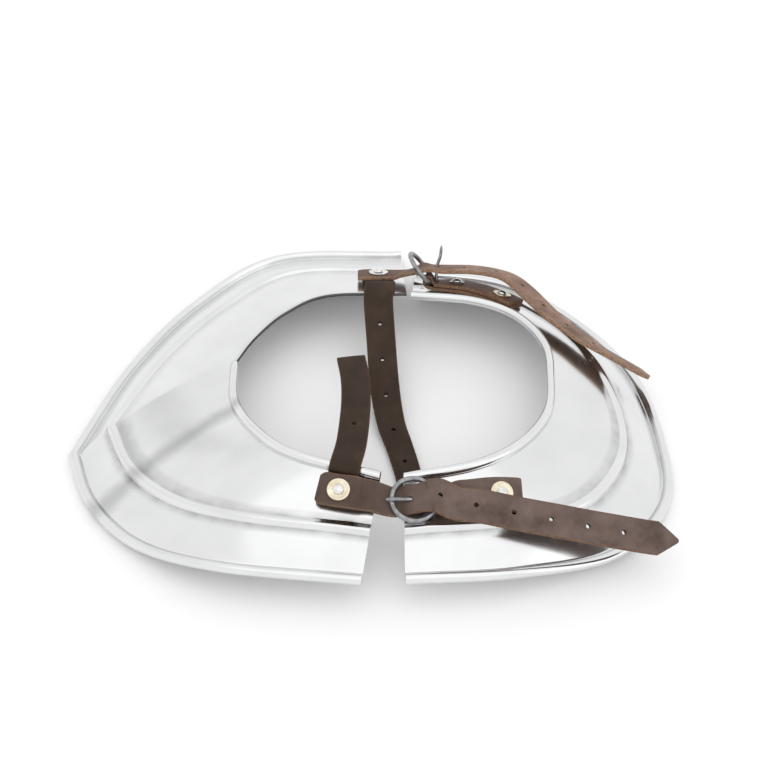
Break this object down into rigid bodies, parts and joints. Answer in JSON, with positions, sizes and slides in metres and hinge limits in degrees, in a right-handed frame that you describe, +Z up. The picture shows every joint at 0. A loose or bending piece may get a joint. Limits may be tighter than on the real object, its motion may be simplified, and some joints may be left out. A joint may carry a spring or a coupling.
{
  "type": "gorget",
  "caption": "Neck and shoulder armour in steel halves with rolled edges and an embossed rib, joined front and rear by leather straps and ring buckles, with loose straps in the neck opening.",
  "frame": {"origin": "on the ground below the middle of the whole gorget as it lies", "axes": "+Z up, -Y to the wearer's front, +X to the right as seen from the front, which is the wearer's left"},
  "size_m": [0.3884, 0.3272, 0.0581],
  "materials": {
    "polished_steel": "bright polish with faint hand marks",
    "brown_leather": "waxed, worn at the buckles, raw at the cut edges",
    "grey_iron": "dull grey, worn",
    "pale_brass": "pale, satin"
  },
  "bodies": {
    "root": {"front_buckle_ring": "grey_iron", "front_buckle_strap": "brown_leather", "front_buckle_tongue": "grey_iron", "front_left_rivet": "grey_iron", "front_left_washer": "pale_brass", "front_right_rivet": "grey_iron", "front_right_washer": "pale_brass", "front_strap": "brown_leather", "hanging_strap": "brown_leather", "left_plate": "polished_steel", "rear_buckle_ring": "grey_iron", "rear_buckle_strap": "brown_leather", "rear_buckle_tongue": "grey_iron", "rear_left_rivet": "grey_iron", "rear_left_washer": "grey_iron", "rear_right_inner_rivet": "grey_iron", "rear_right_inner_washer": "grey_iron", "rear_right_outer_rivet": "grey_iron", "rear_right_outer_washer": "pale_brass", "rear_strap": "brown_leather", "right_plate": "polished_steel", "upright_strap": "brown_leather"}
  },
  "joints": []
}
